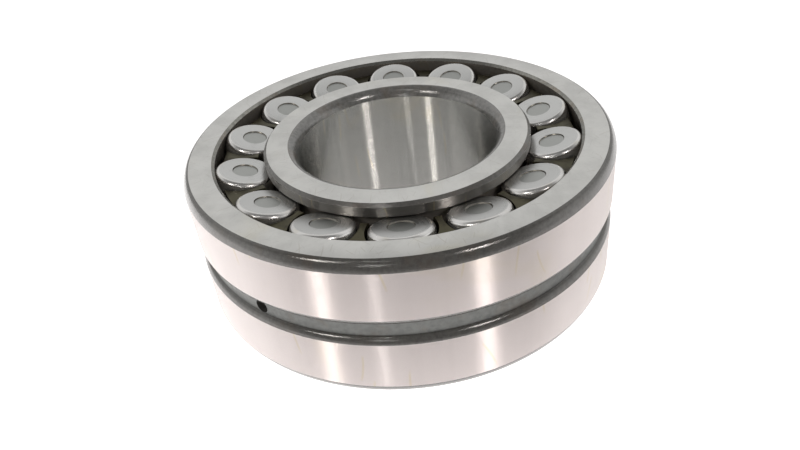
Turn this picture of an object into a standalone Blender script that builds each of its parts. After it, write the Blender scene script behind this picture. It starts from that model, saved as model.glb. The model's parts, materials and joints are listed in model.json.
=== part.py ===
"""Spherical roller bearing: 75 mm bore, 160 mm outside diameter, 55 mm wide.

The origin is the bearing's centre and +Z is its axis. Two rows of barrel-shaped rollers run
in one spherical raceway in the outer ring, so the inner ring, the cage, the guide ring and
the rollers can all tilt together about the origin. Sections are written as (radius, height)
points in the plane of the axis, and are turned about Z.
"""

import math

import bmesh
import bpy
from mathutils import Matrix, Vector

MM = 0.001

# Boundary dimensions
BORE_RADIUS = 37.5 * MM
OUTSIDE_RADIUS = 80.0 * MM
HALF_WIDTH = 27.5 * MM

# Rollers, two rows of barrels leaning inwards at the contact angle
ROLLERS_PER_ROW = 14
FIRST_ROLLER_ANGLE = math.radians(-91.6)
CONTACT_ANGLE = math.radians(13.2)
ROLLER_RADIUS = 11.4 * MM
ROLLER_HALF_LENGTH = 10.4 * MM
ROLLER_PROFILE_RADIUS = 71.2 * MM
ROLLER_CORNER = 1.3 * MM

# Clearances between neighbouring pieces
RACEWAY_CLEARANCE = 0.25 * MM
END_CLEARANCE = 0.3 * MM
POCKET_CLEARANCE = 0.4 * MM

# Outer ring
OUTER_RACEWAY_RADIUS = 73.0 * MM
OUTER_FACE_INNER_RADIUS = 69.0 * MM
RACEWAY_MOUTH_HEIGHT = 26.5 * MM
OUTER_CHAMFER = (2.6 * MM, 3.9 * MM)
GROOVE_HALF_WIDTH = 5.1 * MM
GROOVE_FLOOR_HALF_WIDTH = 2.6 * MM
GROOVE_DEPTH = 1.9 * MM
OIL_HOLE_RADIUS = 2.5 * MM
OIL_HOLES = 3
FIRST_OIL_HOLE_ANGLE = math.radians(230.0)

# Inner ring
BORE_CHAMFER = (3.3 * MM, 3.8 * MM)
RIB_RADIUS = 50.0 * MM
RIB_CHAMFER = 1.2 * MM

# Guide ring, a wedge section floating on the inner ring between the rows
GUIDE_RING_CLEARANCE = 0.35 * MM
GUIDE_RING_OUTER_RADIUS = 58.0 * MM

# Cage, one brass ring with prongs on both sides
CAGE_RING_INNER_RADIUS = 58.6 * MM
CAGE_RING_OUTER_RADIUS = 68.0 * MM
CAGE_RING_HALF_WIDTH = 4.5 * MM
CAGE_SHOULDER = 1.5 * MM
PRONG_INNER_RADIUS = 53.0 * MM
PRONG_HEIGHT = 22.8 * MM
PRONG_ROOT_HEIGHT = 3.1 * MM

# Facets and shading
RING_SIDES = 64
CAGE_SIDES = 4 * ROLLERS_PER_ROW
ROLLER_SIDES = 16
POCKET_SIDES = 24
CHAMFER_FACETS = 2
OUTER_RACEWAY_FACETS = 10
ROLLER_PATH_FACETS = 4
OIL_HOLE_SIDES = 12
SHARP_EDGE_ANGLE = math.radians(30.0)
WELD_DISTANCE = 0.01 * MM

# Derived dimensions
PITCH_ANGLE = 2.0 * math.pi / ROLLERS_PER_ROW
CONTACT_DIRECTION = Vector((math.cos(CONTACT_ANGLE), math.sin(CONTACT_ANGLE)))
ROLLER_AXIS = Vector((-math.sin(CONTACT_ANGLE), math.cos(CONTACT_ANGLE)))
ROLLER_CENTRE = (OUTER_RACEWAY_RADIUS - RACEWAY_CLEARANCE - ROLLER_RADIUS) * CONTACT_DIRECTION
INNER_RACEWAY_PROFILE_RADIUS = ROLLER_PROFILE_RADIUS + RACEWAY_CLEARANCE


def section_point(outward, along):
    """A section point, given along the upper row's contact line and roller axis."""
    point = outward * CONTACT_DIRECTION + along * ROLLER_AXIS
    return (point.x, point.y)


def crown_drop(profile_radius, along):
    """How far an arc of the profile radius falls back at a distance from its middle."""
    return profile_radius - math.sqrt(profile_radius ** 2 - along ** 2)


def inner_raceway_point(along):
    """A point of the upper inner raceway, which follows the rollers' crown."""
    contact = ROLLER_CENTRE.length - ROLLER_RADIUS - RACEWAY_CLEARANCE
    return section_point(contact + crown_drop(INNER_RACEWAY_PROFILE_RADIUS, along), along)


def point_on_plane(along, radius):
    """The section point at a radius on the plane square to the upper roller axis."""
    return (radius, (along + radius * math.sin(CONTACT_ANGLE)) / math.cos(CONTACT_ANGLE))


def spread(start, end, steps):
    """Evenly spaced values from start to end, both included."""
    return [start + (end - start) * index / steps for index in range(steps + 1)]


def rounding(corner_radius, corner_height, widths, steps):
    """An elliptical rounding of an upper outer corner, from the face down to the side."""
    across, down = widths
    return [(corner_radius - across + across * math.sin(angle),
             corner_height - down + down * math.cos(angle))
            for angle in spread(0.0, math.pi / 2.0, steps)]


def mirrored(points):
    """The same points below the middle plane, in reverse order."""
    return [(radius, -height) for radius, height in reversed(points)]


def clear_scene():
    """Removes every object that the scene starts with."""
    for item in list(bpy.data.objects):
        bpy.data.objects.remove(item, do_unlink=True)


def new_collection(name):
    """A collection in the scene, for the bearing's pieces or for cutters."""
    collection = bpy.data.collections.new(name)
    bpy.context.scene.collection.children.link(collection)
    return collection


def metal(name, colour, roughness):
    """A plain metallic material."""
    material = bpy.data.materials.new(name)
    material.use_nodes = True
    shader = material.node_tree.nodes["Principled BSDF"]
    shader.inputs["Base Color"].default_value = (*colour, 1.0)
    shader.inputs["Metallic"].default_value = 1.0
    shader.inputs["Roughness"].default_value = roughness
    return material


def turned(name, section, closed, sides, material, collection):
    """An object that turns its section, drawn in the XZ plane, once about its own Z axis."""
    mesh = bpy.data.meshes.new(name)
    edges = [(index, index + 1) for index in range(len(section) - 1)]
    if closed:
        edges.append((len(section) - 1, 0))
    mesh.from_pydata([(radius, 0.0, height) for radius, height in section], edges, [])
    mesh.materials.append(material)
    item = bpy.data.objects.new(name, mesh)
    collection.objects.link(item)
    screw = item.modifiers.new("turning", "SCREW")
    screw.axis = "Z"
    screw.steps = sides
    screw.render_steps = sides
    screw.use_merge_vertices = True
    screw.merge_threshold = WELD_DISTANCE
    return item


def finish_mesh(item):
    """Applies the object's modifiers and shades its round surfaces smooth."""
    evaluated = item.evaluated_get(bpy.context.evaluated_depsgraph_get())
    mesh = bpy.data.meshes.new_from_object(evaluated)
    mesh.name = item.name
    item.modifiers.clear()
    item.data = mesh
    mesh.shade_smooth()
    mesh.set_sharp_from_angle(angle=SHARP_EDGE_ANGLE)


def cylinder_cutter(name, radius, length, sides, matrix, collection):
    """A wire-drawn cylinder from its matrix's origin along its +Z, for cutting."""
    mesh = bpy.data.meshes.new(name)
    builder = bmesh.new()
    bmesh.ops.create_cone(builder, cap_ends=True, segments=sides, radius1=radius,
                          radius2=radius, depth=length,
                          matrix=Matrix.Translation((0.0, 0.0, length / 2.0)))
    builder.to_mesh(mesh)
    builder.free()
    cutter = bpy.data.objects.new(name, mesh)
    cutter.matrix_world = matrix
    cutter.hide_render = True
    cutter.display_type = "WIRE"
    collection.objects.link(cutter)


def cut_by(item, cutters):
    """Cuts every object of a collection out of a piece."""
    boolean = item.modifiers.new("cuts", "BOOLEAN")
    boolean.operation = "DIFFERENCE"
    boolean.solver = "EXACT"
    boolean.operand_type = "COLLECTION"
    boolean.collection = cutters


def roller_matrix(row, index, along=0.0):
    """A frame on one roller's axis: origin at a distance along it, +Z away from the middle."""
    radius = ROLLER_CENTRE.x + along * ROLLER_AXIS.x
    height = ROLLER_CENTRE.y + along * ROLLER_AXIS.y
    turn = FIRST_ROLLER_ANGLE + PITCH_ANGLE * index
    if row == "upper":
        lean = Matrix.Rotation(-CONTACT_ANGLE, 4, "Y")
    else:
        turn += PITCH_ANGLE / 2.0
        height = -height
        lean = Matrix.Rotation(math.pi + CONTACT_ANGLE, 4, "Y")
    return Matrix.Rotation(turn, 4, "Z") @ Matrix.Translation((radius, 0.0, height)) @ lean


def make_outer_ring(collection, cutters, material):
    """A groove and oil holes outside, and one sphere for both rows of rollers inside."""
    top = rounding(OUTSIDE_RADIUS, HALF_WIDTH, OUTER_CHAMFER, CHAMFER_FACETS)
    upper_outside = [(OUTER_FACE_INNER_RADIUS, HALF_WIDTH), *top,
                     (OUTSIDE_RADIUS, GROOVE_HALF_WIDTH),
                     (OUTSIDE_RADIUS - GROOVE_DEPTH, GROOVE_FLOOR_HALF_WIDTH)]
    mouth_angle = math.asin(RACEWAY_MOUTH_HEIGHT / OUTER_RACEWAY_RADIUS)
    raceway = [(OUTER_RACEWAY_RADIUS * math.cos(angle), OUTER_RACEWAY_RADIUS * math.sin(angle))
               for angle in spread(-mouth_angle, mouth_angle, OUTER_RACEWAY_FACETS)]
    section = upper_outside + mirrored(upper_outside) + raceway
    ring = turned("outer_ring", section, True, RING_SIDES, material, collection)
    overrun = 0.5 * (OUTSIDE_RADIUS - OUTER_RACEWAY_RADIUS)
    inside = Matrix.Translation((OUTER_RACEWAY_RADIUS - overrun, 0.0, 0.0))
    outwards = Matrix.Rotation(math.pi / 2.0, 4, "Y")
    length = OUTSIDE_RADIUS - OUTER_RACEWAY_RADIUS + 2.0 * overrun
    for index in range(OIL_HOLES):
        turn = Matrix.Rotation(FIRST_OIL_HOLE_ANGLE + 2.0 * math.pi * index / OIL_HOLES, 4, "Z")
        cylinder_cutter(f"oil_hole_{index + 1}", OIL_HOLE_RADIUS, length, OIL_HOLE_SIDES,
                        turn @ inside @ outwards, cutters)
    cut_by(ring, cutters)
    finish_mesh(ring)


def make_inner_ring(collection, material):
    """A straight bore, two crowned raceways with a land between them, and a rib at each side."""
    wall = ROLLER_HALF_LENGTH + END_CLEARANCE
    raceway = [inner_raceway_point(along) for along in spread(wall, -wall, ROLLER_PATH_FACETS)]
    bore = [(BORE_RADIUS + BORE_CHAMFER[0] * (1.0 - math.sin(angle)),
             HALF_WIDTH - BORE_CHAMFER[1] * (1.0 - math.cos(angle)))
            for angle in spread(math.pi / 2.0, 0.0, CHAMFER_FACETS)]
    upper = [*bore,
             (RIB_RADIUS - RIB_CHAMFER, HALF_WIDTH),
             (RIB_RADIUS, HALF_WIDTH - RIB_CHAMFER),
             point_on_plane(wall, RIB_RADIUS),
             *raceway]
    finish_mesh(turned("inner_ring", upper + mirrored(upper), True, RING_SIDES, material,
                       collection))


def make_guide_ring(collection, material):
    """A loose ring whose sides lean with the inboard ends of the rollers."""
    side = -ROLLER_HALF_LENGTH - END_CLEARANCE
    bore_radius = inner_raceway_point(side)[0] + GUIDE_RING_CLEARANCE
    upper = [point_on_plane(side, bore_radius),
             point_on_plane(side, GUIDE_RING_OUTER_RADIUS)]
    finish_mesh(turned("guide_ring", upper + mirrored(upper), True, RING_SIDES, material,
                       collection))


def make_cage(collection, cutters, material):
    """A turned blank with a round pocket bored for each roller, which leaves the prongs."""
    prong_outer_radius = CAGE_RING_OUTER_RADIUS - CAGE_SHOULDER
    upper = [(CAGE_RING_INNER_RADIUS, PRONG_ROOT_HEIGHT),
             (PRONG_INNER_RADIUS, PRONG_ROOT_HEIGHT),
             (PRONG_INNER_RADIUS, PRONG_HEIGHT),
             (prong_outer_radius, PRONG_HEIGHT),
             (prong_outer_radius, CAGE_RING_HALF_WIDTH + CAGE_SHOULDER),
             (CAGE_RING_OUTER_RADIUS, CAGE_RING_HALF_WIDTH)]
    cage = turned("cage", upper + mirrored(upper), True, CAGE_SIDES, material, collection)
    cage.rotation_euler.z = FIRST_ROLLER_ANGLE
    floor = -ROLLER_HALF_LENGTH - POCKET_CLEARANCE
    pocket_radius = ROLLER_RADIUS + POCKET_CLEARANCE
    for row in ("upper", "lower"):
        for index in range(ROLLERS_PER_ROW):
            cylinder_cutter(f"{row}_pocket_{index + 1:02d}", pocket_radius, HALF_WIDTH,
                            POCKET_SIDES, roller_matrix(row, index, floor), cutters)
    cut_by(cage, cutters)
    finish_mesh(cage)


def make_rollers(collection, material):
    """Both rows of barrels, which share one mesh."""
    shoulder = ROLLER_HALF_LENGTH - ROLLER_CORNER

    def barrel_radius(along):
        return ROLLER_RADIUS - crown_drop(ROLLER_PROFILE_RADIUS, along)

    end = [(0.0, ROLLER_HALF_LENGTH),
           (barrel_radius(shoulder) - ROLLER_CORNER, ROLLER_HALF_LENGTH)]
    barrel = [(barrel_radius(along), along)
              for along in spread(shoulder, -shoulder, ROLLER_PATH_FACETS)]
    pattern = turned("roller", end + barrel + mirrored(end), False, ROLLER_SIDES, material,
                     collection)
    finish_mesh(pattern)
    for row in ("upper", "lower"):
        for index in range(ROLLERS_PER_ROW):
            roller = bpy.data.objects.new(f"{row}_roller_{index + 1:02d}", pattern.data)
            roller.matrix_world = roller_matrix(row, index)
            collection.objects.link(roller)
    bpy.data.objects.remove(pattern)


def main():
    clear_scene()
    bearing = new_collection("spherical_roller_bearing")
    oil_hole_cutters = new_collection("oil_hole_cutters")
    pocket_cutters = new_collection("pocket_cutters")
    ring_steel = metal("ring_steel", (0.56, 0.55, 0.53), 0.32)
    roller_steel = metal("roller_steel", (0.62, 0.62, 0.61), 0.18)
    guide_steel = metal("guide_steel", (0.45, 0.44, 0.42), 0.4)
    cage_brass = metal("cage_brass", (0.55, 0.40, 0.17), 0.38)
    make_outer_ring(bearing, oil_hole_cutters, ring_steel)
    make_inner_ring(bearing, ring_steel)
    make_guide_ring(bearing, guide_steel)
    make_cage(bearing, pocket_cutters, cage_brass)
    make_rollers(bearing, roller_steel)


main()
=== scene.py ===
"""Looks of the spherical roller bearing: fine-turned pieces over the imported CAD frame.

Every CAD node is replaced by a smoother piece in the same place: rings and rollers turned from
rounded sections, the cage bored from a turned blank. Lengths are in metres. A section is a list
of corners (radius, height, edge radius, finish), each with the finish of the surface after it.
"""

import json
import math

import bpy
from mathutils import Matrix, Vector


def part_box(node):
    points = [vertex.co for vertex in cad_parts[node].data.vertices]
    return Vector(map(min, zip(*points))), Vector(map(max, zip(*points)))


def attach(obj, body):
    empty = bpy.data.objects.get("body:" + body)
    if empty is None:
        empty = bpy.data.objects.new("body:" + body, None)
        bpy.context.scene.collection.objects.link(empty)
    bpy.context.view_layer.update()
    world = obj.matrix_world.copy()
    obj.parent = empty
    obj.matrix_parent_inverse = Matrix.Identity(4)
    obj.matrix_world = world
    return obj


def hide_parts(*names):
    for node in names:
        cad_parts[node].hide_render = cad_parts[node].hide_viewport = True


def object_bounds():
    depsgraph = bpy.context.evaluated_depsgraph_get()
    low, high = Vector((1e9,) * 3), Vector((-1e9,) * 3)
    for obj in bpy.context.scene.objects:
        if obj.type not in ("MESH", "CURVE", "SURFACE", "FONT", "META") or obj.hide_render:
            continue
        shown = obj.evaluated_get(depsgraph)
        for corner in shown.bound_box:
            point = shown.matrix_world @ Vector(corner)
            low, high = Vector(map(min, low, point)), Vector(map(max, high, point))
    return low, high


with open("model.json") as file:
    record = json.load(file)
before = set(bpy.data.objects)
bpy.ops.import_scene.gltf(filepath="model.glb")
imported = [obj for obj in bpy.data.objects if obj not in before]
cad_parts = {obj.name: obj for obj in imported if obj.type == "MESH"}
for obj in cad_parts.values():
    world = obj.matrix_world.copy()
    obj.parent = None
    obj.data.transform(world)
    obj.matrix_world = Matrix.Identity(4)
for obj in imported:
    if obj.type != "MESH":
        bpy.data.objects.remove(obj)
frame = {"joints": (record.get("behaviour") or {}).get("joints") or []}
cad_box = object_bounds()

MM = 0.001
JOINTS = {joint["child"]: joint for joint in frame["joints"]}

# Read from the frame
OUTSIDE_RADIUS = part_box("outer_ring")[1].x
HALF_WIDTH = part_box("outer_ring")[1].z
GUIDE_OUTER_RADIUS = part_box("guide_ring")[1].x
PRONG_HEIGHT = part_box("cage")[1].z
CONTACT_ANGLE = math.acos(Vector(JOINTS["upper_roller_01"]["axis"]).z)
UPPER_ROLLERS = sorted(name for name in JOINTS if name.startswith("upper_roller"))
LOWER_ROLLERS = sorted(name for name in JOINTS if name.startswith("lower_roller"))

# Outer ring. A chamfer is its reach along the side face and its reach along the axis.
FACE_INNER_RADIUS = 69.0 * MM
OUTER_CHAMFER = (2.6 * MM, 3.9 * MM)
MOUTH_HEIGHT = 26.5 * MM
OUTER_RACEWAY_RADIUS = 73.0 * MM
GROOVE_HALF_WIDTH = 5.1 * MM
GROOVE_FLOOR_HALF_WIDTH = 2.6 * MM
GROOVE_DEPTH = 1.9 * MM
OIL_HOLE_RADIUS = 2.5 * MM
OIL_HOLE_START = OUTER_RACEWAY_RADIUS - 3.0 * MM
OIL_HOLE_LENGTH = 12.0 * MM
FIRST_OIL_HOLE_ANGLE = math.radians(230.0)
OIL_HOLES = 3

# Inner ring
BORE_RADIUS = 37.5 * MM
BORE_CHAMFER = (3.3 * MM, 3.8 * MM)
RIB_RADIUS = 50.0 * MM
RIB_CHAMFER = 1.2 * MM
RIB_WALL = 10.7 * MM
INNER_RACEWAY_CONTACT = 49.7 * MM
INNER_RACEWAY_PROFILE = 71.45 * MM

# Rollers
ROLLER_RADIUS = 11.4 * MM
ROLLER_HALF_LENGTH = 10.4 * MM
ROLLER_PROFILE = 71.2 * MM
ROLLER_CORNER = 1.5 * MM
RECESS_RADIUS = 4.6 * MM
RECESS_DEPTH = 0.4 * MM
RECESS_WALL = 0.26 * MM

# Cage and guide ring
CAGE_RING_INNER_RADIUS = 58.6 * MM
CAGE_RING_OUTER_RADIUS = 68.0 * MM
CAGE_RING_HALF_WIDTH = 4.5 * MM
CAGE_SHOULDER = 1.5 * MM
PRONG_INNER_RADIUS = 53.0 * MM
PRONG_ROOT_HEIGHT = 3.1 * MM
POCKET_RADIUS = 11.8 * MM
POCKET_FLOOR = -10.8 * MM
GUIDE_BORE_RADIUS = 52.0 * MM
GUIDE_SIDE = -10.7 * MM

# How much of each sharp edge is rounded off
RING_EDGE = 0.12 * MM
RIB_EDGE = 0.3 * MM
GUIDE_EDGE = 0.2 * MM
CAGE_EDGE = 0.4 * MM
RECESS_FLOOR_EDGE = 0.12 * MM
RECESS_RIM_EDGE = 0.1 * MM

# How far from square a rounded corner starts and ends, in degrees
CHAMFER_BREAKS = (4.0, 26.0)
SHOULDER_BREAKS = (10.0, 22.0)
ROLLER_BREAKS = (2.0, 8.0)

# Fineness of the meshes
RING_SIDES = 288
ROLLER_SIDES = 96
CAGE_SIDES = 224
POCKET_SIDES = 96
OIL_HOLE_SIDES = 48
EDGE_STEPS = 6
CHAMFER_STEPS = 10
CORNER_STEPS = 8
OUTER_RACEWAY_STEPS = 36
INNER_RACEWAY_STEPS = 24
BARREL_STEPS = 16
SHARP_ANGLE = math.radians(17.0)
ON_AXIS = 1e-9

# Rounded edges: how far past a rounding its support point lies, how many roundings long a side
# is for it to have one, and the most of a side that a rounding may take
SUPPORT = 0.06 * MM
SUPPORT_ROOM = 3.0
LONGEST_CUT = 0.45

# Marks on the metal: the radius at which angles are unrolled into lengths, the height of one
# grinding groove, where a stroke fades in widths from its middle line and in lengths from its
# middle, and how sharply a share of the cells is told from the rest
STROKE_RADIUS = 60.0 * MM
GROOVE_PITCH = 0.0004 * MM
STROKE_SIDE_FADE = (0.3, 0.7)
STROKE_END_FADE = (0.2, 0.5)
SHARE_MARGIN = 0.001

# The turn of the anisotropy that smears highlights along the axis, and not round it
QUARTER_TURN = 0.25

# Specular level of the hardened surfaces
HARDENED_SPECULAR = 0.9

# Grain of the marks, in cells per radian of angle, per metre of radius, or per metre along X,
# Y and Z
SWIRL_ROUND = 260.0
SWIRL_OUTWARD = 2600.0
SWIRL_BREAKS = 90.0
BANDS_ROUND = 6.0
FACING_ROUND = 0.2
FACING_OUTWARD = 5200.0
GROUND_GRAIN = (9.0, 9.0, 4200.0)
HARDENED_GRAIN = (14.0, 14.0, 2600.0)
HONED_GRAIN = (12.0, 12.0, 5200.0)
BRASS_GRAIN = (30.0, 30.0, 3000.0)

# The part that each kind of mark plays in the relief, the gloss or the tint
MARK_RELIEF = 0.6
GRIT_RELIEF = 0.4
LINE_RELIEF = 0.25
PIT_RELIEF = 0.55
OIL_GLOSS = 0.06
FILM_STAIN = 0.22
DRIP_STAIN = 0.45
CLOUD_WEAR = 0.3
NICK_WEAR = 0.3

# Tints laid over the metals
FACE_OIL = (0.47, 0.43, 0.31)
FACE_HAIR = (0.20, 0.16, 0.09)
ROUND_STAIN = (0.55, 0.47, 0.30)
HONED_OIL = (0.42, 0.36, 0.22)
RUST_SHIFT = (0.9, 0.72, 0.6)
# The brass is painted dark all over, as painted shade for the gaps between the rollers
BRASS_WITH_PAINTED_SHADE = (0.060, 0.054, 0.030)
TARNISH = (0.034, 0.029, 0.019)

# Floor and tent
FLOOR_SIZE = 6.0
FLOOR_COLOUR = (0.30, 0.30, 0.30)
FLOOR_FIBRES = (0.26, 0.26, 0.26)
FLOOR_LIGHT = (1.0, 0.98, 0.975, 1.0)
FLOOR_GLOW = 0.85
TENT_LIGHT = (1.0, 1.0, 0.985, 1.0)
TENT_GLOW = 0.25

# Lamps, aimed at the bearing's centre: place, width, height, power in watts, colour
WARM_LEFT = (1.0, 0.955, 0.91)
WARM_RIGHT = (1.0, 0.945, 0.92)
NEAR_WHITE = (1.0, 0.98, 0.95)
LAMPS = {
    "left_lamp": ((-0.497, -0.464, 0.518), 0.090, 0.095, 1.05, WARM_LEFT),
    "right_lamp": ((0.390, -0.546, 0.507), 0.090, 0.095, 1.08, WARM_RIGHT),
    "thin_lamp": ((-0.155, -0.337, 0.548), 0.006, 0.05, 0.08, NEAR_WHITE),
    "low_lamp": ((-0.097, -0.341, 0.142), 0.006, 0.016, 0.035, NEAR_WHITE),
}

# Camera: sensor and lens in millimetres
SENSOR_WIDTH = 36.0
LENS = 31.854
CAMERA_PLACE = (0.0, -0.23797, 0.15122)
CAMERA_AIM = (-0.00251, 0.0, -0.01573)
CAMERA_ROLL = math.radians(-6.727)


# ---------------------------------------------------------------------------- sections

def spread(start, end, steps):
    """Evenly spaced values from start to end, both included."""
    return [start + (end - start) * index / steps for index in range(steps + 1)]


def softened(corners, closed):
    """The corners (radius, height, edge radius, finish) as a finer outline of
    (radius, height, finish), with each edge rounded and a support point beside it."""
    outline = []
    count = len(corners)
    for index, (radius, height, edge, finish) in enumerate(corners):
        before = corners[index - 1] if index or closed else None
        after = corners[(index + 1) % count] if closed or index + 1 < count else None
        if edge == 0.0 or before is None or after is None:
            outline.append((radius, height, finish))
            continue
        here = Vector((radius, height))
        back = Vector(before[:2]) - here
        ahead = Vector(after[:2]) - here
        cut_back = edge / math.tan(back.angle(ahead) / 2.0)
        cut_back = min(cut_back, LONGEST_CUT * back.length, LONGEST_CUT * ahead.length)
        start = here + cut_back * back.normalized()
        end = here + cut_back * ahead.normalized()
        room = SUPPORT_ROOM * cut_back + SUPPORT
        if back.length > room:
            point = start + SUPPORT * back.normalized()
            outline.append((point.x, point.y, before[3]))
        for step in spread(0.0, 1.0, EDGE_STEPS):
            point = start.lerp(here, step).lerp(here.lerp(end, step), step)
            outline.append((point.x, point.y, finish if step >= 0.5 else before[3]))
        if ahead.length > room:
            point = end + SUPPORT * ahead.normalized()
            outline.append((point.x, point.y, finish))
    return outline


def rounded_corner(first, last, finish, steps, breaks):
    """A convex corner that leaves the first point outwards and turns down to the last, short
    of square at each end by the breaks in degrees."""
    low, high = math.radians(breaks[0]), math.radians(90.0 - breaks[1])
    points = []
    for angle in spread(low, high, steps):
        across = (math.sin(angle) - math.sin(low)) / (math.sin(high) - math.sin(low))
        down = (math.cos(low) - math.cos(angle)) / (math.cos(low) - math.cos(high))
        points.append((first[0] + across * (last[0] - first[0]),
                       first[1] + down * (last[1] - first[1]), 0.0, finish))
    return points


def relabelled(corners, finish):
    """The corners with the last one starting a new finish."""
    radius, height, edge, _ = corners[-1]
    return corners[:-1] + [(radius, height, edge, finish)]


def mirrored(corners, last_finish):
    """The corners on the other side of the middle plane, in reverse order, so that the outline
    goes on from one to the other."""
    finishes = [corner[3] for corner in corners[:-1]][::-1] + [last_finish]
    return [(radius, -height, edge, finish)
            for (radius, height, edge, _), finish in zip(corners[::-1], finishes)]


def on_roller_frame(outward, along):
    """A section point given along the upper contact line and the upper roller axis."""
    cosine, sine = math.cos(CONTACT_ANGLE), math.sin(CONTACT_ANGLE)
    return (outward * cosine - along * sine, outward * sine + along * cosine)


def height_on_plane(along, radius):
    """The height at a radius of the plane square to the upper roller axis."""
    return (along + radius * math.sin(CONTACT_ANGLE)) / math.cos(CONTACT_ANGLE)


def crown_drop(profile, along):
    """How far an arc of the profile radius has fallen away at a distance from its middle."""
    return profile - math.sqrt(profile ** 2 - along ** 2)


# ---------------------------------------------------------------------------- meshes

def turned(name, corners, closed, sides, finishes):
    """A turned piece: the softened outline swept about Z, each band with its finish."""
    outline = softened(corners, closed)
    vertices = []
    rings = []
    for radius, height, _ in outline:
        first = len(vertices)
        if radius < ON_AXIS:
            vertices.append((0.0, 0.0, height))
            rings.append([first] * sides)
            continue
        for side in range(sides):
            angle = 2.0 * math.pi * side / sides
            vertices.append((radius * math.cos(angle), radius * math.sin(angle), height))
        rings.append([first + side for side in range(sides)])
    names = list(dict.fromkeys(point[2] for point in outline))
    faces = []
    indices = []
    for index in range(len(outline) if closed else len(outline) - 1):
        upper, lower = rings[index], rings[(index + 1) % len(outline)]
        for side in range(sides):
            after = (side + 1) % sides
            corner_loop = [upper[side], lower[side], lower[after], upper[after]]
            faces.append(list(dict.fromkeys(corner_loop)))
            indices.append(names.index(outline[index][2]))
    mesh = bpy.data.meshes.new(name)
    mesh.from_pydata(vertices, [], faces)
    for finish in names:
        mesh.materials.append(finishes[finish])
    mesh.polygons.foreach_set("material_index", indices)
    shade(mesh)
    piece = bpy.data.objects.new(name, mesh)
    bpy.context.scene.collection.objects.link(piece)
    return piece


def shade(mesh):
    """Smooth shading, except across the edges that really turn."""
    mesh.shade_smooth()
    mesh.set_sharp_from_angle(angle=SHARP_ANGLE)


def drill(name, radius, length, sides, matrix, finish):
    """A cylinder from its matrix's origin along its +Z, used as a cutter."""
    corners = [(0.0, length, 0.0, "cut"), (radius, length, 0.0, "cut"),
               (radius, 0.0, 0.0, "cut"), (0.0, 0.0, 0.0, "cut")]
    cutter = turned(name, corners, False, sides, {"cut": finish})
    cutter.matrix_world = matrix
    return cutter


def cut(piece, cutters):
    """Cuts the cutters out of the piece, keeps the result as its mesh, and removes them."""
    tools = bpy.data.collections.new("cutters")
    bpy.context.scene.collection.children.link(tools)
    for cutter in cutters:
        tools.objects.link(cutter)
    boolean = piece.modifiers.new("cut", "BOOLEAN")
    boolean.operation = "DIFFERENCE"
    boolean.operand_type = "COLLECTION"
    boolean.collection = tools
    boolean.material_mode = "TRANSFER"
    evaluated = piece.evaluated_get(bpy.context.evaluated_depsgraph_get())
    result = bpy.data.meshes.new_from_object(evaluated)
    piece.modifiers.clear()
    piece.data = result
    shade(result)
    for cutter in cutters:
        bpy.data.objects.remove(cutter)
    bpy.data.collections.remove(tools)


# ---------------------------------------------------------------------------- finishes

class Nodes:
    """A node tree, and the calls that add to it and give back the socket they end in."""

    def __init__(self, tree):
        self.tree = tree

    def node(self, kind, inputs=None, **settings):
        """A new node with its settings, and with each input linked or set."""
        made = self.tree.nodes.new(kind)
        for key, value in settings.items():
            setattr(made, key, value)
        for key, value in (inputs or {}).items():
            if isinstance(value, bpy.types.NodeSocket):
                self.tree.links.new(value, made.inputs[key])
            else:
                made.inputs[key].default_value = value
        return made

    def calc(self, operation, *values):
        """The result of a math node."""
        return self.node("ShaderNodeMath", dict(enumerate(values)), operation=operation).outputs[0]

    def scaled(self, value, factor):
        """The value times a factor."""
        return self.calc("MULTIPLY", value, factor)

    def total(self, first, *others):
        """The sum of the values."""
        for other in others:
            first = self.calc("ADD", first, other)
        return first

    def ramp(self, value, low, high, start=0.0, end=1.0):
        """A smooth step of the value, from start at low to end at high."""
        inputs = {"Value": value, "From Min": low, "From Max": high,
                  "To Min": start, "To Max": end}
        return self.node("ShaderNodeMapRange", inputs,
                         interpolation_type="SMOOTHSTEP").outputs["Result"]

    def split(self, vector):
        """The three parts of a vector."""
        return self.node("ShaderNodeSeparateXYZ", {"Vector": vector}).outputs[:]

    def white_to_camera(self, strength):
        """At least full strength where the camera sees the surface itself."""
        seen = self.node("ShaderNodeLightPath").outputs["Is Camera Ray"]
        return self.calc("MAXIMUM", strength, seen)


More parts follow.
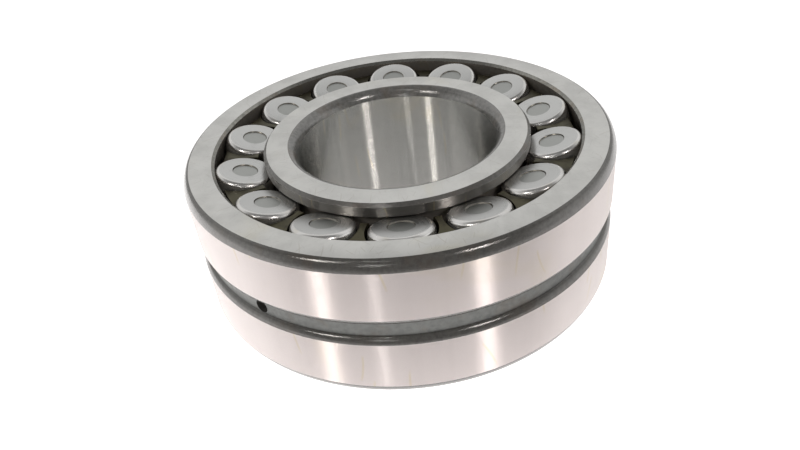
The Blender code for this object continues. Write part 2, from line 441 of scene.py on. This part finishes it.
class Finish(Nodes):
    """A surface: one Principled shader and the nodes that vary it."""

    def __init__(self, name, colour, roughness, anisotropy=0.0, metallic=1.0):
        self.material = bpy.data.materials.new(name)
        self.material.use_nodes = True
        super().__init__(self.material.node_tree)
        self.shader = self.tree.nodes["Principled BSDF"]
        self.shader.inputs["Base Color"].default_value = (*colour, 1.0)
        self.shader.inputs["Roughness"].default_value = roughness
        self.shader.inputs["Metallic"].default_value = metallic
        self.colour = colour
        self.roughness = roughness
        self.coordinates = self.node("ShaderNodeTexCoord").outputs["Object"]
        if anisotropy:
            self.shader.inputs["Anisotropic"].default_value = anisotropy
            self.shader.inputs["Anisotropic Rotation"].default_value = QUARTER_TURN
            tangent = self.node("ShaderNodeTangent", direction_type="RADIAL", axis="Z")
            self.feed("Tangent", tangent.outputs["Tangent"])

    def feed(self, name, socket):
        """Links a socket to an input of the shader."""
        self.tree.links.new(socket, self.shader.inputs[name])

    def polar(self):
        """Radius, angle and height about the piece's own Z axis, in metres and radians."""
        x, y, z = self.split(self.coordinates)
        radius = self.calc("SQRT", self.total(self.calc("MULTIPLY", x, x),
                                              self.calc("MULTIPLY", y, y)))
        return radius, self.calc("ARCTAN2", y, x), z

    def vector(self, x, y, z):
        """A vector made of three values."""
        return self.node("ShaderNodeCombineXYZ", {"X": x, "Y": y, "Z": z}).outputs[0]

    def stretched(self, grain):
        """Object coordinates scaled along X, Y and Z by the grain, in cells per metre."""
        return self.node("ShaderNodeMapping", {"Vector": self.coordinates,
                                               "Scale": grain}).outputs[0]

    def noise(self, vector, scale=1.0, detail=2.0, roughness=0.5, distortion=0.0):
        """Smooth noise, from 0 to 1, with its scale in cells per unit of the vector."""
        inputs = {"Vector": vector, "Scale": scale, "Detail": detail,
                  "Roughness": roughness, "Distortion": distortion}
        return self.node("ShaderNodeTexNoise", inputs).outputs[0]

    def either_way(self, chance, most):
        """A chance from 0 to 1 as a value from -most to most."""
        return self.scaled(self.calc("SUBTRACT", chance, 0.5), 2.0 * most)

    def strokes(self, point, cell, length, width, share, turn=math.pi, bend=0.0):
        """Strokes on a plane, one in a share of the cells, each turned at random from the
        plane's second axis by up to turn: 1 on a stroke, 0 away from it."""
        cells = self.node("ShaderNodeTexVoronoi", {"Vector": point, "Scale": 1.0 / cell},
                          voronoi_dimensions="2D")
        away = self.node("ShaderNodeVectorMath", {0: point, 1: cells.outputs["Position"]},
                         operation="SUBTRACT").outputs[0]
        x, y, _ = self.split(away)
        chance = self.node("ShaderNodeSeparateColor", {"Color": cells.outputs["Color"]}).outputs
        angle = self.either_way(chance[0], turn)
        cosine = self.calc("COSINE", angle)
        sine = self.calc("SINE", angle)
        along = self.total(self.calc("MULTIPLY", y, cosine), self.calc("MULTIPLY", x, sine))
        across = self.calc("SUBTRACT", self.calc("MULTIPLY", x, cosine),
                           self.calc("MULTIPLY", y, sine))
        curve = self.calc("MULTIPLY", self.calc("MULTIPLY", along, along),
                          self.either_way(chance[1], bend))
        distance = self.calc("ABSOLUTE", self.total(across, curve))
        thin = self.ramp(distance, *(part * width for part in STROKE_SIDE_FADE), 1.0, 0.0)
        reach = self.ramp(self.calc("ABSOLUTE", along),
                          *(part * length for part in STROKE_END_FADE), 1.0, 0.0)
        chosen = self.ramp(chance[2], share - SHARE_MARGIN, share + SHARE_MARGIN, 1.0, 0.0)
        return self.calc("MULTIPLY", self.calc("MULTIPLY", thin, reach), chosen)

    def tinted(self, mask, tint, base=None, amount=1.0):
        """A colour that goes from the base, or from the finish's own colour, towards the tint
        by the mask times the amount. A mix node's factor and colours go by number, because
        other sockets share their names."""
        start = (*self.colour, 1.0) if base is None else base
        factor = mask if amount == 1.0 else self.scaled(mask, amount)
        return self.node("ShaderNodeMix", {0: factor, 6: start, 7: (*tint, 1.0)},
                         data_type="RGBA").outputs[2]

    def uneven_roughness(self, value, low, high, below, above):
        """Roughness from below the finish's own to above it, as the value goes from low to
        high."""
        return self.ramp(value, low, high, self.roughness - below, self.roughness + above)

    def set_colour(self, socket):
        """Varies the base colour."""
        self.feed("Base Color", socket)

    def set_roughness(self, socket):
        """Varies the roughness."""
        self.feed("Roughness", socket)

    def set_grooves(self, height, slope):
        """Tilts the normal along Z at random from one groove round the axis to the next."""
        groove = self.calc("FLOOR", self.calc("DIVIDE", height, GROOVE_PITCH))
        chance = self.node("ShaderNodeTexWhiteNoise", {"W": groove},
                           noise_dimensions="1D").outputs["Value"]
        tilt = self.vector(0.0, 0.0, self.either_way(chance, slope))
        normal = self.node("ShaderNodeNewGeometry").outputs["Normal"]
        leaning = self.node("ShaderNodeVectorMath", {0: normal, 1: tilt},
                            operation="ADD").outputs[0]
        self.feed("Normal", self.node("ShaderNodeVectorMath", {0: leaning},
                                      operation="NORMALIZE").outputs[0])

    def set_bump(self, height, distance):
        """Tilts the normal as on a relief, where a height of 1 stands for the distance."""
        bump = self.node("ShaderNodeBump", {"Height": height, "Distance": distance,
                                            "Strength": 1.0})
        self.feed("Normal", bump.outputs["Normal"])


def shaded(colour, factor):
    """The colour made darker or lighter, with no part above 1."""
    return tuple(min(1.0, factor * part) for part in colour)


def oil_film(finish):
    """Patches of thin oil, 0 to 1."""
    patches = finish.noise(finish.coordinates, scale=34.0, detail=3.0, roughness=0.55,
                           distortion=0.6)
    return finish.ramp(patches, low=0.56, high=0.78)


def ground_face(name, colour, roughness):
    """A flat face from the surface grinder: fine marks across it, scratches, hairs and oil."""
    finish = Finish(name, colour, roughness)
    radius, angle, height = finish.polar()
    swirl = finish.total(finish.scaled(angle, SWIRL_ROUND),
                         finish.scaled(radius, SWIRL_OUTWARD))
    marks = finish.noise(finish.vector(swirl, finish.scaled(radius, SWIRL_BREAKS), height),
                         detail=4.0, roughness=0.65)
    grit = finish.noise(finish.coordinates, scale=5200.0, roughness=0.6)
    cloud = finish.noise(finish.coordinates, scale=95.0, detail=4.0, roughness=0.6)
    film = oil_film(finish)

    flat = finish.coordinates
    short = finish.strokes(flat, cell=2.6 * MM, length=4.0 * MM, width=0.10 * MM, share=0.5)
    long = finish.strokes(flat, cell=5.5 * MM, length=9.0 * MM, width=0.12 * MM, share=0.4,
                          bend=8.0)
    scratches = finish.calc("MAXIMUM", short, long)
    unrolled = finish.vector(finish.scaled(angle, STROKE_RADIUS), radius, 0.0)
    curled = finish.strokes(unrolled, cell=7.0 * MM, length=9.0 * MM, width=0.26 * MM,
                            share=0.35, turn=0.8, bend=30.0)
    straight = finish.strokes(unrolled, cell=3.6 * MM, length=4.0 * MM, width=0.20 * MM,
                              share=0.18, turn=1.1)
    hairs = finish.calc("MAXIMUM", curled, straight)

    mottled = finish.tinted(finish.ramp(cloud, low=0.35, high=0.7), shaded(colour, factor=0.86))
    scratched = finish.tinted(scratches, shaded(colour, factor=0.5), mottled, amount=0.28)
    filmed = finish.tinted(film, FACE_OIL, scratched, amount=0.3)
    finish.set_colour(finish.tinted(hairs, FACE_HAIR, filmed, amount=0.20))
    satin = finish.uneven_roughness(marks, low=0.3, high=0.7, below=0.05, above=0.07)
    finish.set_roughness(finish.calc("SUBTRACT", satin, finish.scaled(film, OIL_GLOSS)))
    relief = finish.total(finish.scaled(marks, MARK_RELIEF), finish.scaled(grit, GRIT_RELIEF))
    finish.set_bump(finish.calc("SUBTRACT", relief, scratches), distance=0.004 * MM)
    return finish.material


def ground_round(name, colour, roughness, groove_slope, banding):
    """A bore, an outside diameter or a rib, ground round: grooves and hairlines round the
    axis that smear highlights along it, bands of tone, and runs of dried oil."""
    finish = Finish(name, colour, roughness, anisotropy=1.0)
    _, angle, height = finish.polar()
    hairlines = finish.noise(finish.stretched(GROUND_GRAIN), detail=3.0, roughness=0.6)
    unrolled = finish.vector(finish.scaled(angle, STROKE_RADIUS), height, 0.0)
    drips = finish.strokes(unrolled, cell=13.0 * MM, length=16.0 * MM, width=0.55 * MM,
                           share=0.3, turn=0.35, bend=12.0)
    stain = finish.calc("MAXIMUM", finish.scaled(oil_film(finish), FILM_STAIN),
                        finish.scaled(drips, DRIP_STAIN))
    bands = finish.noise(finish.vector(finish.scaled(angle, BANDS_ROUND), 0.0, 0.0),
                         detail=4.0, roughness=0.7)
    banded = finish.tinted(finish.ramp(bands, low=0.35, high=0.65),
                           shaded(colour, factor=1.0 - banding))
    finish.set_colour(finish.tinted(stain, ROUND_STAIN, banded))
    finish.set_roughness(finish.uneven_roughness(hairlines, low=0.3, high=0.7,
                                                 below=0.008, above=0.008))
    finish.set_grooves(height, groove_slope)
    return finish.material


def hardened(name, colour, roughness, metallic=1.0, dent_height=0.018 * MM, shade_depth=0.34):
    """A turned surface left as hardened: dark, smooth, with faint turning lines and dents."""
    finish = Finish(name, colour, roughness, metallic=metallic)
    finish.shader.inputs["Specular IOR Level"].default_value = HARDENED_SPECULAR
    lines = finish.noise(finish.stretched(HARDENED_GRAIN), detail=3.0, roughness=0.55)
    hollows = finish.noise(finish.coordinates, scale=1500.0, roughness=0.6)
    pits = finish.noise(finish.coordinates, scale=4400.0)
    mottle = finish.noise(finish.coordinates, scale=620.0, detail=4.0, roughness=0.65)
    specks = finish.noise(finish.coordinates, scale=1900.0, detail=1.0)
    flecks = finish.ramp(specks, low=0.68, high=0.76)
    clouds = finish.noise(finish.coordinates, scale=120.0, detail=3.0, roughness=0.6)
    rust = finish.ramp(clouds, low=0.5, high=0.72)

    mottled = finish.tinted(finish.ramp(mottle, low=0.35, high=0.7),
                            shaded(colour, factor=1.0 - shade_depth))
    rusty = tuple(shift * part for shift, part in zip(RUST_SHIFT, colour))
    warmed = finish.tinted(rust, rusty, mottled, amount=0.4)
    finish.set_colour(finish.tinted(flecks, shaded(colour, factor=1.9), warmed, amount=0.25))
    finish.set_roughness(finish.uneven_roughness(mottle, low=0.3, high=0.7,
                                                 below=0.04, above=0.07))
    dents = finish.total(hollows, finish.scaled(pits, PIT_RELIEF))
    finish.set_bump(finish.total(finish.scaled(lines, LINE_RELIEF), dents),
                    distance=dent_height)
    return finish.material


def polished(name, colour, roughness, metallic=1.0):
    """A raceway, or a roller's barrel and corners: honed, with hairlines round its axis, and
    oily in places."""
    finish = Finish(name, colour, roughness, metallic=metallic)
    hairlines = finish.noise(finish.stretched(HONED_GRAIN), roughness=0.6)
    smudge = finish.noise(finish.coordinates, scale=110.0, detail=3.0, roughness=0.6,
                          distortion=0.4)
    oil = finish.ramp(smudge, low=0.52, high=0.74)
    finish.set_colour(finish.tinted(oil, HONED_OIL, amount=0.35))
    finish.set_roughness(finish.uneven_roughness(smudge, low=0.35, high=0.7,
                                                 below=0.02, above=0.05))
    finish.set_bump(hairlines, distance=0.0006 * MM)
    return finish.material


def faced(name, colour, roughness):
    """A roller's end: satin, with fine rings from facing, clouds and nicks."""
    finish = Finish(name, colour, roughness)
    radius, angle, height = finish.polar()
    turns = finish.vector(finish.scaled(radius, FACING_OUTWARD),
                          finish.scaled(angle, FACING_ROUND), height)
    rings = finish.noise(turns, roughness=0.6)
    cloud = finish.noise(finish.coordinates, scale=300.0, detail=3.0, roughness=0.6)
    specks = finish.noise(finish.coordinates, scale=1900.0, detail=1.0)
    nicks = finish.ramp(specks, low=0.72, high=0.78)
    worn = finish.total(finish.ramp(cloud, low=0.5, high=0.75, end=CLOUD_WEAR),
                        finish.scaled(nicks, NICK_WEAR))
    finish.set_colour(finish.tinted(worn, shaded(colour, factor=0.7)))
    finish.set_roughness(finish.uneven_roughness(rings, low=0.3, high=0.7,
                                                 below=0.02, above=0.03))
    finish.set_bump(rings, distance=0.0001 * MM)
    return finish.material


def oiled_brass_with_painted_shade(name):
    """Machined brass with tool lines, darkened in patches by oil, and painted dark as shade."""
    finish = Finish(name, BRASS_WITH_PAINTED_SHADE, roughness=0.36, metallic=0.85)
    lines = finish.noise(finish.stretched(BRASS_GRAIN), detail=3.0, roughness=0.6)
    patches = finish.noise(finish.coordinates, scale=170.0, detail=4.0, roughness=0.6,
                           distortion=0.5)
    finish.set_colour(finish.tinted(finish.ramp(patches, low=0.42, high=0.7), TARNISH))
    finish.set_roughness(finish.uneven_roughness(patches, low=0.3, high=0.7,
                                                 below=0.08, above=0.06))
    finish.set_bump(lines, distance=0.003 * MM)
    return finish.material


def lit_floor():
    """A pale floor, lit from within: plain white to the camera, uneven as the steel reflects
    it."""
    finish = Finish("pale_floor", FLOOR_COLOUR, roughness=0.8, metallic=0.0)
    fibres = finish.noise(finish.coordinates, scale=900.0, detail=3.0, roughness=0.6)
    finish.set_colour(finish.tinted(finish.ramp(fibres, low=0.3, high=0.7, end=0.12),
                                    FLOOR_FIBRES))
    finish.shader.inputs["Emission Color"].default_value = FLOOR_LIGHT
    x, y, _ = finish.split(finish.coordinates)
    radius, _, _ = finish.polar()

    # Brighter to the left and right of the bearing, dimmer in front of it
    left = finish.ramp(x, low=-0.18, high=-0.09, start=1.1, end=0.0)
    right = finish.ramp(x, low=0.12, high=0.2, end=0.5)
    front = finish.ramp(y, low=-0.42, high=-0.20, start=0.15)
    # Brighter in a ring under and round the bearing, and least so on its right
    ring = finish.calc("MULTIPLY", finish.ramp(radius, low=0.09, high=0.16, start=1.0, end=0.0),
                       finish.ramp(radius, low=0.06, high=0.075))
    ring = finish.calc("MULTIPLY", ring, finish.ramp(x, low=0.0, high=0.12, start=1.0, end=0.3))
    # Brighter in the far half of the bore
    inside = finish.calc("MULTIPLY", finish.ramp(radius, low=0.03, high=0.045, start=0.5, end=0.0),
                         finish.ramp(y, low=-0.015, high=0.02))
    glow = finish.calc("MULTIPLY", finish.total(FLOOR_GLOW, ring, left, right, inside), front)
    finish.feed("Emission Strength", finish.white_to_camera(glow))
    return finish.material


FINISHES = {
    "face": ground_face("ground_side_face", (0.565, 0.56, 0.545), roughness=0.36),
    "round": ground_round("ground_outside", (0.62, 0.565, 0.55), roughness=0.30,
                          groove_slope=1.6, banding=0.04),
    "bore": ground_round("ground_bore", (0.385, 0.383, 0.365), roughness=0.21,
                         groove_slope=0.92, banding=0.13),
    "chamfer": hardened("hardened_chamfer", (0.088, 0.084, 0.078), roughness=0.115,
                        metallic=0.2, dent_height=0.036 * MM),
    "bore_chamfer": hardened("hardened_bore_chamfer", (0.18, 0.177, 0.17), roughness=0.12,
                             metallic=0.25, dent_height=0.036 * MM),
    "groove": hardened("hardened_groove_floor", (0.137, 0.14, 0.135), roughness=0.44,
                       dent_height=0.008 * MM, shade_depth=0.12),
    "mouth": hardened("hardened_mouth", (0.26, 0.255, 0.235), roughness=0.26),
    "raceway": polished("honed_raceway", (0.42, 0.39, 0.35), roughness=0.3, metallic=0.7),
    "rib": ground_round("ground_rib", (0.27, 0.258, 0.24), roughness=0.30,
                        groove_slope=0.9, banding=0.1),
    "rib_edge": hardened("rib_edge", (0.15, 0.145, 0.136), roughness=0.17,
                         metallic=0.4, dent_height=0.03 * MM),
    "roller_end": faced("roller_end", (0.47, 0.47, 0.465), roughness=0.29),
    "recess": faced("roller_recess", (0.335, 0.34, 0.33), roughness=0.36),
    # The recess wall is painted dark, as painted shade inside each roller's recess
    "recess_wall_painted_shade": hardened("recess_wall_painted_shade", (0.20, 0.19, 0.165), roughness=0.3, metallic=0.9),
    "roller_corner": polished("roller_corner", (0.60, 0.59, 0.58), roughness=0.27),
    "barrel": polished("roller_barrel", (0.50, 0.49, 0.465), roughness=0.24, metallic=0.8),
    "guide": hardened("turned_guide_ring", (0.38, 0.37, 0.35), roughness=0.35),
    "brass": oiled_brass_with_painted_shade("oiled_brass_with_painted_shade"),
}


# ---------------------------------------------------------------------------- pieces

def place(piece, body, node):
    """Puts a finished piece on its CAD body and in place of its CAD node."""
    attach(piece, body)
    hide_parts(node)


def make_outer_ring():
    """Side faces, chamfers, the oil groove between two shoulders, and the spherical raceway."""
    rounding = rounded_corner((OUTSIDE_RADIUS - OUTER_CHAMFER[0], HALF_WIDTH),
                              (OUTSIDE_RADIUS, HALF_WIDTH - OUTER_CHAMFER[1]),
                              "chamfer", CHAMFER_STEPS, CHAMFER_BREAKS)
    shoulder = rounded_corner((OUTSIDE_RADIUS - GROOVE_DEPTH, -GROOVE_FLOOR_HALF_WIDTH),
                              (OUTSIDE_RADIUS, -GROOVE_HALF_WIDTH),
                              "chamfer", CORNER_STEPS, SHOULDER_BREAKS)
    upper = [(FACE_INNER_RADIUS, HALF_WIDTH, RING_EDGE, "face"),
             *relabelled(rounding, "round"),
             *relabelled(mirrored(shoulder, "chamfer"), "groove")]
    mouth = math.asin(MOUTH_HEIGHT / OUTER_RACEWAY_RADIUS)
    raceway = [(OUTER_RACEWAY_RADIUS * math.cos(angle), OUTER_RACEWAY_RADIUS * math.sin(angle),
                0.0, "raceway") for angle in spread(-mouth, mouth, OUTER_RACEWAY_STEPS)]
    corners = upper + mirrored(upper, "mouth") + relabelled(raceway, "mouth")
    ring = turned("outer_ring_steel", corners, True, RING_SIDES, FINISHES)
    along_radius = (Matrix.Translation((OIL_HOLE_START, 0.0, 0.0))
                    @ Matrix.Rotation(math.pi / 2.0, 4, "Y"))
    cutters = []
    for index in range(OIL_HOLES):
        angle = FIRST_OIL_HOLE_ANGLE + 2.0 * math.pi * index / OIL_HOLES
        cutters.append(drill(f"oil_hole_{index + 1}", OIL_HOLE_RADIUS, OIL_HOLE_LENGTH,
                             OIL_HOLE_SIDES, Matrix.Rotation(angle, 4, "Z") @ along_radius,
                             FINISHES["chamfer"]))
    cut(ring, cutters)
    place(ring, "outer_ring", "outer_ring")


def make_inner_ring():
    """A straight bore, a rib at each side, and two crowned raceways with a land between."""
    raceway = []
    for along in spread(RIB_WALL, -RIB_WALL, INNER_RACEWAY_STEPS):
        outward = INNER_RACEWAY_CONTACT + crown_drop(INNER_RACEWAY_PROFILE, along)
        raceway.append((*on_roller_frame(outward, along), 0.0, "raceway"))
    rounding = rounded_corner((BORE_RADIUS + BORE_CHAMFER[0], HALF_WIDTH),
                              (BORE_RADIUS, HALF_WIDTH - BORE_CHAMFER[1]),
                              "bore_chamfer", CHAMFER_STEPS, CHAMFER_BREAKS)[::-1]
    upper = [*relabelled(rounding, "face"),
             (RIB_RADIUS - RIB_CHAMFER, HALF_WIDTH, RING_EDGE, "rib_edge"),
             (RIB_RADIUS, HALF_WIDTH - RIB_CHAMFER, RIB_EDGE, "rib"),
             (RIB_RADIUS, height_on_plane(RIB_WALL, RIB_RADIUS), RIB_EDGE, "rib"),
             *relabelled(raceway, "rib")]
    ring = turned("inner_ring_steel", upper + mirrored(upper, "bore"), True, RING_SIDES,
                  FINISHES)
    place(ring, "inner_ring", "inner_ring")


def make_guide_ring():
    """A ring of wedge section between the two rows of rollers."""
    upper = [(radius, height_on_plane(GUIDE_SIDE, radius), GUIDE_EDGE, "guide")
             for radius in (GUIDE_BORE_RADIUS, GUIDE_OUTER_RADIUS)]
    ring = turned("guide_ring_steel", upper + mirrored(upper, "guide"), True, RING_SIDES,
                  FINISHES)
    place(ring, "guide_ring", "guide_ring")


def roller_matrix(body):
    """The frame of a roller: origin at its centre, +Z along its axis, away from the middle."""
    joint = JOINTS[body]
    centre = Vector(joint["pos_m"])
    axis = Vector(joint["axis"])
    if centre.z < 0.0:
        axis = -axis
    turn = axis.to_track_quat("Z", "Y").to_matrix().to_4x4()
    return Matrix.Translation(centre) @ turn


def make_rollers():
    """One barrel mesh with a recess in each end, used by all the rollers of both rows."""

    def barrel_radius(along):
        """The crowned barrel's radius at a distance from its middle."""
        return ROLLER_RADIUS - crown_drop(ROLLER_PROFILE, along)

    shoulder = ROLLER_HALF_LENGTH - ROLLER_CORNER
    floor = ROLLER_HALF_LENGTH - RECESS_DEPTH
    corner = rounded_corner((barrel_radius(shoulder) - ROLLER_CORNER, ROLLER_HALF_LENGTH),
                            (barrel_radius(shoulder), shoulder),
                            "roller_corner", CORNER_STEPS, ROLLER_BREAKS)
    upper = [(0.0, floor, 0.0, "recess"),
             (RECESS_RADIUS - RECESS_WALL, floor, RECESS_FLOOR_EDGE, "recess_wall_painted_shade"),
             (RECESS_RADIUS, ROLLER_HALF_LENGTH, RECESS_RIM_EDGE, "roller_end"),
             *relabelled(corner, "barrel")]
    barrel = [(barrel_radius(along), along, 0.0, "barrel")
              for along in spread(shoulder, -shoulder, BARREL_STEPS)][1:-1]
    corners = upper + barrel + mirrored(upper, "recess")
    pattern = turned("roller_pattern", corners, False, ROLLER_SIDES, FINISHES)
    for body in UPPER_ROLLERS + LOWER_ROLLERS:
        roller = bpy.data.objects.new(body + "_steel", pattern.data)
        bpy.context.scene.collection.objects.link(roller)
        roller.matrix_world = roller_matrix(body)
        place(roller, body, body)
    bpy.data.objects.remove(pattern)


def make_cage():
    """A ring with prongs above and below it, left between the pockets bored for the rollers."""
    prong_outer_radius = CAGE_RING_OUTER_RADIUS - CAGE_SHOULDER
    outline = [(CAGE_RING_INNER_RADIUS, PRONG_ROOT_HEIGHT, 0.0),
               (PRONG_INNER_RADIUS, PRONG_ROOT_HEIGHT, CAGE_EDGE),
               (PRONG_INNER_RADIUS, PRONG_HEIGHT, CAGE_EDGE),
               (prong_outer_radius, PRONG_HEIGHT, CAGE_EDGE),
               (prong_outer_radius, CAGE_RING_HALF_WIDTH + CAGE_SHOULDER, CAGE_EDGE),
               (CAGE_RING_OUTER_RADIUS, CAGE_RING_HALF_WIDTH, CAGE_EDGE)]
    upper = [(*corner, "brass") for corner in outline]
    cage = turned("cage_brass_comb", upper + mirrored(upper, "brass"), True, CAGE_SIDES,
                  FINISHES)
    cutters = []
    for body in UPPER_ROLLERS + LOWER_ROLLERS:
        matrix = roller_matrix(body) @ Matrix.Translation((0.0, 0.0, POCKET_FLOOR))
        cutters.append(drill(body + "_pocket", POCKET_RADIUS, HALF_WIDTH, POCKET_SIDES, matrix,
                             FINISHES["brass"]))
    cut(cage, cutters)
    place(cage, "cage", "cage")


# ---------------------------------------------------------------------------- studio

def make_lamp(name, location, width, height, power, colour):
    """A soft box aimed at the origin, which is the bearing's centre."""
    data = bpy.data.lights.new(name, "AREA")
    data.shape = "RECTANGLE"
    data.size = width
    data.size_y = height
    data.energy = power
    data.color = colour
    lamp = bpy.data.objects.new(name, data)
    lamp.location = location
    lamp.rotation_euler = (-Vector(location)).to_track_quat("-Z", "Y").to_euler()
    bpy.context.scene.collection.objects.link(lamp)


def make_world():
    """A pale tent: plain white to the camera. As the steel reflects it, it is bright behind and
    at the sides, and dark overhead and towards the front."""
    world = bpy.data.worlds.new("tent")
    bpy.context.scene.world = world
    world.use_nodes = True
    tent = Nodes(world.node_tree)
    x, y, z = tent.split(tent.node("ShaderNodeTexCoord").outputs["Generated"])
    back = tent.calc("MULTIPLY", tent.ramp(y, low=-0.25, high=0.35, end=0.65),
                     tent.ramp(z, low=0.2, high=0.6, start=0.84, end=1.2))
    sides = tent.total(tent.ramp(x, low=-0.97, high=-0.75, start=1.0, end=0.0),
                       tent.ramp(x, low=0.75, high=0.97))
    below_top = tent.ramp(z, low=0.70, high=0.93, start=1.0, end=0.0)
    walls = tent.calc("MULTIPLY", tent.calc("MAXIMUM", back, sides), below_top)
    background = tent.tree.nodes["Background"]
    background.inputs["Color"].default_value = TENT_LIGHT
    tent.tree.links.new(tent.white_to_camera(tent.total(walls, TENT_GLOW)),
                        background.inputs["Strength"])


def make_floor():
    """The floor that the bearing lies on."""
    bpy.ops.mesh.primitive_plane_add(size=FLOOR_SIZE, location=(0.0, 0.0, cad_box[0][2]))
    floor = bpy.context.object
    floor.name = "studio_floor"
    floor.data.materials.append(lit_floor())


def make_camera():
    """The camera, rolled a little about its view."""
    data = bpy.data.cameras.new("camera")
    data.sensor_width = SENSOR_WIDTH
    data.lens = LENS
    camera = bpy.data.objects.new("camera", data)
    camera.location = CAMERA_PLACE
    aim = Vector(CAMERA_AIM) - camera.location
    roll = Matrix.Rotation(CAMERA_ROLL, 4, "Z")
    turn = aim.to_track_quat("-Z", "Y").to_matrix().to_4x4() @ roll
    camera.matrix_world = Matrix.Translation(camera.location) @ turn
    bpy.context.scene.collection.objects.link(camera)
    bpy.context.scene.camera = camera


def make_studio():
    """World, floor, camera and lamps."""
    make_world()
    make_floor()
    make_camera()
    for name, (location, width, height, power, colour) in LAMPS.items():
        make_lamp(name, location, width, height, power, colour)
    bpy.context.scene.view_settings.view_transform = "Standard"


make_outer_ring()
make_inner_ring()
make_guide_ring()
make_cage()
make_rollers()
make_studio()
